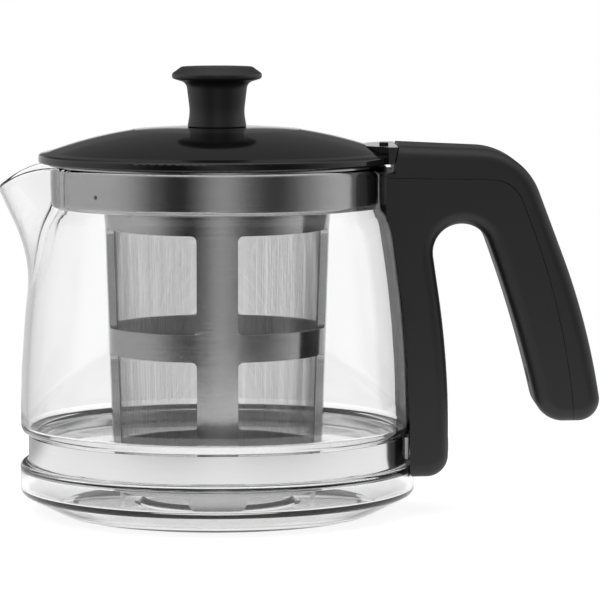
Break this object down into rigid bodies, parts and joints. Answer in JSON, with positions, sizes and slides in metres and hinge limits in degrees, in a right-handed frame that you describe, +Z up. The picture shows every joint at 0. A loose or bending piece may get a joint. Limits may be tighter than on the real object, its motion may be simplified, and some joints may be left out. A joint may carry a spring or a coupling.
{
  "type": "tea maker jug",
  "caption": "Glass tea maker jug with pour spout, steel foot band, black open-ended handle, lift-out steel infuser basket and lift-off black lid with knob.",
  "frame": {"origin": "on the axis of the glass jug, in the plane that its foot ring stands on", "axes": "+Z up through the knob, +X from the jug's axis towards the handle, so the spout points along -X"},
  "size_m": [0.2217, 0.1462, 0.1644],
  "materials": {
    "glass": "clear, smooth",
    "band_steel": "bright, fine brushed along the band",
    "plain_steel": "plain machined steel",
    "brushed_steel": "reflective, fine brushed",
    "steel_mesh": "fine woven mesh",
    "satin_black": "satin, very fine moulded grain",
    "gloss_black": "polished",
    "liner_black": "semi-gloss",
    "silicone": "soft matte",
    "brass": "plain turned"
  },
  "bodies": {
    "jug": {"glass_jug": "glass", "glass_base": "glass", "base_band": "band_steel", "band_bracket": "plain_steel", "handle_shell": "satin_black", "handle_cover": "satin_black", "cover_screws": "plain_steel", "handle_screw": "plain_steel", "handle_washer": "plain_steel", "screw_cap": "satin_black", "handle_pad": "silicone"},
    "basket": {"basket_collar": "brushed_steel", "basket_frame": "brushed_steel", "mesh_sleeve": "steel_mesh", "basket_floor": "brushed_steel", "floor_mesh": "steel_mesh", "basket_feet": "brushed_steel"},
    "lid": {"lid_shell": "gloss_black", "lid_disc": "gloss_black", "lid_liner": "liner_black", "lid_gasket": "silicone", "lid_seal": "silicone", "knob": "satin_black", "knob_insert": "brass", "knob_screw": "plain_steel", "knob_washer": "plain_steel"}
  },
  "joints": [
    {"name": "basket_lift", "type": "slide", "parent": "jug", "child": "basket", "axis": [0, 0, 1], "range_m": [0, 0.14]},
    {"name": "lid_lift", "type": "slide", "parent": "basket", "child": "lid", "axis": [0, 0, 1], "range_m": [0, 0.04]}
  ]
}
